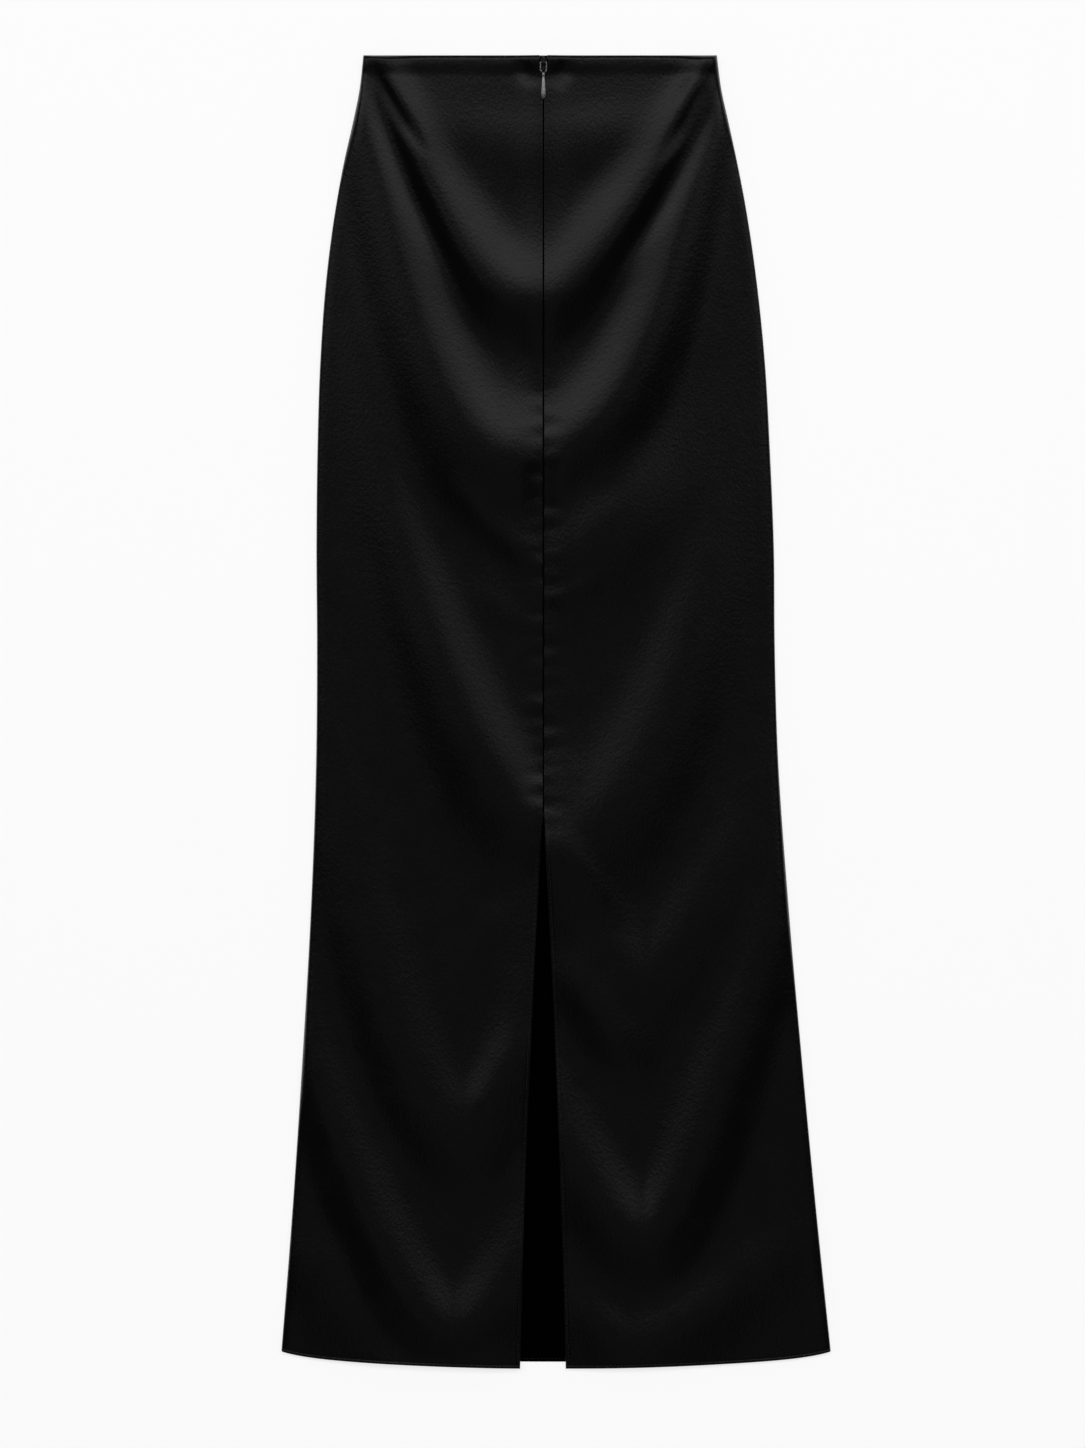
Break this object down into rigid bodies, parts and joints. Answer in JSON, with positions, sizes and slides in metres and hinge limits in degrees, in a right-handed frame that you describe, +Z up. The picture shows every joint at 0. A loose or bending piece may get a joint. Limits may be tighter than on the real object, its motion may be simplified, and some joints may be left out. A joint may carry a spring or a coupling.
{
  "type": "column skirt",
  "caption": "Long column skirt laid flat with its back up: soft U-shaped folds, a concealed zip with a drop pull, a centre seam and an open slit at the hem.",
  "frame": {"origin": "on the floor, under the middle of the skirt's box", "axes": "+Y from the hem to the waist, +X to the right seen with the waist up and the back facing the viewer, +Z up from the floor, out of the back"},
  "size_m": [0.4661, 1.116, 0.0139],
  "materials": {
    "satin": "smooth black satin, right side out, with a broad soft sheen",
    "satin_wrong_side": "dull black wrong side of the satin",
    "zip_tape": "matt black woven tape",
    "zip_slider": "black enamel",
    "zip_pull": "polished dark nickel"
  },
  "bodies": {
    "garment": {"front_panel": "satin_wrong_side", "back_panel_left": "satin", "back_panel_right": "satin", "zip_tape_left": "zip_tape", "zip_tape_right": "zip_tape", "zip_slider": "zip_slider"},
    "zip_pull": {"zip_pull": "zip_pull"}
  },
  "joints": [
    {"name": "pull_swing", "type": "hinge", "parent": "garment", "child": "zip_pull", "pos_m": [-0.01095, 0.5518, 0.0074], "axis": [-1, 0, 0], "range_deg": [0, 170]}
  ]
}
